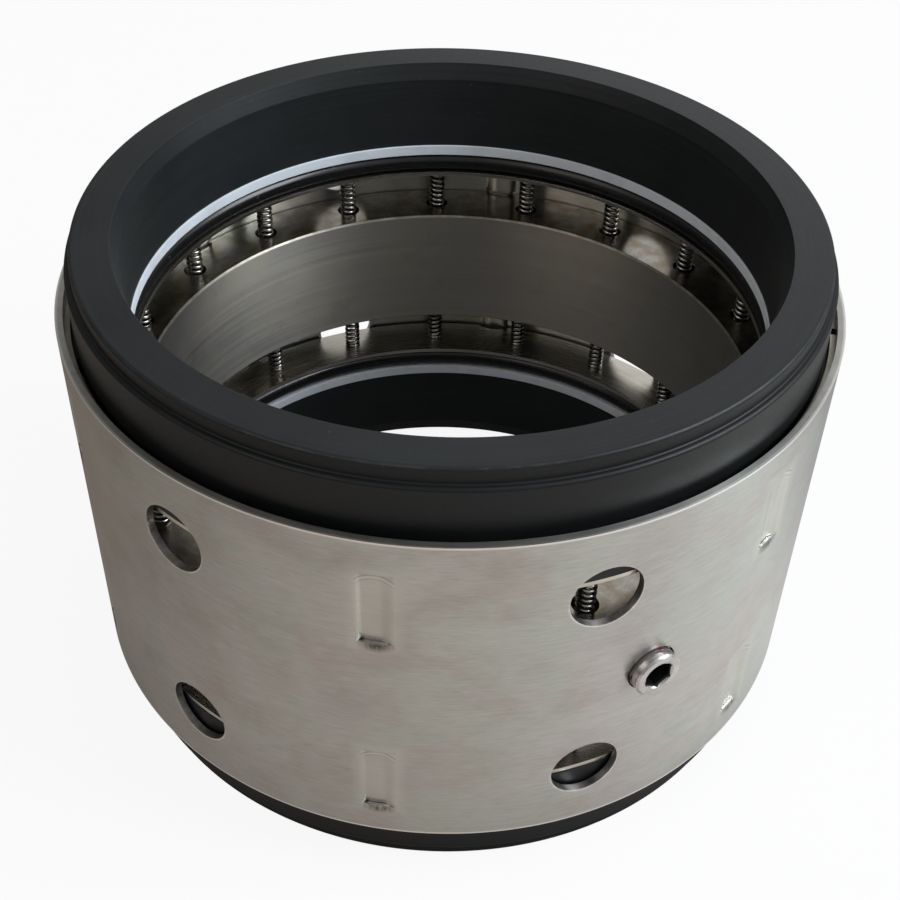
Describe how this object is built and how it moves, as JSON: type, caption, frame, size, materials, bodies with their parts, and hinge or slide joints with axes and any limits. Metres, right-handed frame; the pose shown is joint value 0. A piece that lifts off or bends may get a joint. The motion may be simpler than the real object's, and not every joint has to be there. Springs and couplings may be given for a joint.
{
  "type": "double mechanical seal",
  "caption": "Double mechanical seal: a pierced sheet steel shell with a set-screw drive collar and a spring-loaded dark seal ring at each end.",
  "frame": {"origin": "on the shaft axis, in the plane of the lower seal face", "axes": "+Z along the shaft axis, from the lower seal face to the upper one; the picture's view looks along +Y and down; +X to the right"},
  "size_m": [0.122, 0.122, 0.0834],
  "materials": {
    "shell_steel": "brushed",
    "collar_steel": "satin, turned",
    "screw_steel": "satin, red paint spots on the thread",
    "silicon_carbide": "matte",
    "ptfe": "matte",
    "rubber": "glossy",
    "plate_steel": "satin",
    "snap_ring_steel": "satin, khaki tarnish",
    "spring_steel": "bright"
  },
  "bodies": {
    "carrier": {"sleeve": "shell_steel", "drive_collar": "collar_steel", "upper_snap_ring": "snap_ring_steel", "lower_snap_ring": "snap_ring_steel", "upper_spring_01": "spring_steel", "upper_spring_02": "spring_steel", "upper_spring_03": "spring_steel", "upper_spring_04": "spring_steel", "upper_spring_05": "spring_steel", "upper_spring_06": "spring_steel", "upper_spring_07": "spring_steel", "upper_spring_08": "spring_steel", "upper_spring_09": "spring_steel", "upper_spring_10": "spring_steel", "upper_spring_11": "spring_steel", "upper_spring_12": "spring_steel", "upper_spring_13": "spring_steel", "upper_spring_14": "spring_steel", "upper_spring_15": "spring_steel", "upper_spring_16": "spring_steel", "upper_spring_17": "spring_steel", "upper_spring_18": "spring_steel", "upper_spring_19": "spring_steel", "upper_spring_20": "spring_steel", "lower_spring_01": "spring_steel", "lower_spring_02": "spring_steel", "lower_spring_03": "spring_steel", "lower_spring_04": "spring_steel", "lower_spring_05": "spring_steel", "lower_spring_06": "spring_steel", "lower_spring_07": "spring_steel", "lower_spring_08": "spring_steel", "lower_spring_09": "spring_steel", "lower_spring_10": "spring_steel", "lower_spring_11": "spring_steel", "lower_spring_12": "spring_steel", "lower_spring_13": "spring_steel", "lower_spring_14": "spring_steel", "lower_spring_15": "spring_steel", "lower_spring_16": "spring_steel", "lower_spring_17": "spring_steel", "lower_spring_18": "spring_steel", "lower_spring_19": "spring_steel", "lower_spring_20": "spring_steel"},
    "upper_seal_ring": {"upper_face_ring": "silicon_carbide", "upper_backup_ring": "ptfe", "upper_oring": "rubber", "upper_thrust_plate": "plate_steel"},
    "lower_seal_ring": {"lower_face_ring": "silicon_carbide", "lower_backup_ring": "ptfe", "lower_oring": "rubber", "lower_thrust_plate": "plate_steel"},
    "set_screw": {"set_screw": "screw_steel"},
    "hidden_set_screw": {"hidden_set_screw": "screw_steel"}
  },
  "joints": [
    {"name": "upper_seal_slide", "type": "slide", "parent": "carrier", "child": "upper_seal_ring", "axis": [0, 0, -1], "range_m": [0, 0.0025], "stiffness_N_per_m": 150000, "springref_m": -0.00015, "deforming": ["upper_spring_01", "upper_spring_02", "upper_spring_03", "upper_spring_04", "upper_spring_05", "upper_spring_06", "upper_spring_07", "upper_spring_08", "upper_spring_09", "upper_spring_10", "upper_spring_11", "upper_spring_12", "upper_spring_13", "upper_spring_14", "upper_spring_15", "upper_spring_16", "upper_spring_17", "upper_spring_18", "upper_spring_19", "upper_spring_20"]},
    {"name": "lower_seal_slide", "type": "slide", "parent": "carrier", "child": "lower_seal_ring", "axis": [0, 0, 1], "range_m": [0, 0.0025], "stiffness_N_per_m": 150000, "springref_m": -0.00015, "deforming": ["lower_spring_01", "lower_spring_02", "lower_spring_03", "lower_spring_04", "lower_spring_05", "lower_spring_06", "lower_spring_07", "lower_spring_08", "lower_spring_09", "lower_spring_10", "lower_spring_11", "lower_spring_12", "lower_spring_13", "lower_spring_14", "lower_spring_15", "lower_spring_16", "lower_spring_17", "lower_spring_18", "lower_spring_19", "lower_spring_20"]},
    {"name": "set_screw_feed", "type": "slide", "parent": "carrier", "child": "set_screw", "axis": [-0.503, 0.8643, 0], "range_m": [-0.003, 0.0029]},
    {"name": "hidden_set_screw_feed", "type": "slide", "parent": "carrier", "child": "hidden_set_screw", "axis": [-1, -0.0035, 0], "range_m": [-0.005, 0.001]}
  ]
}
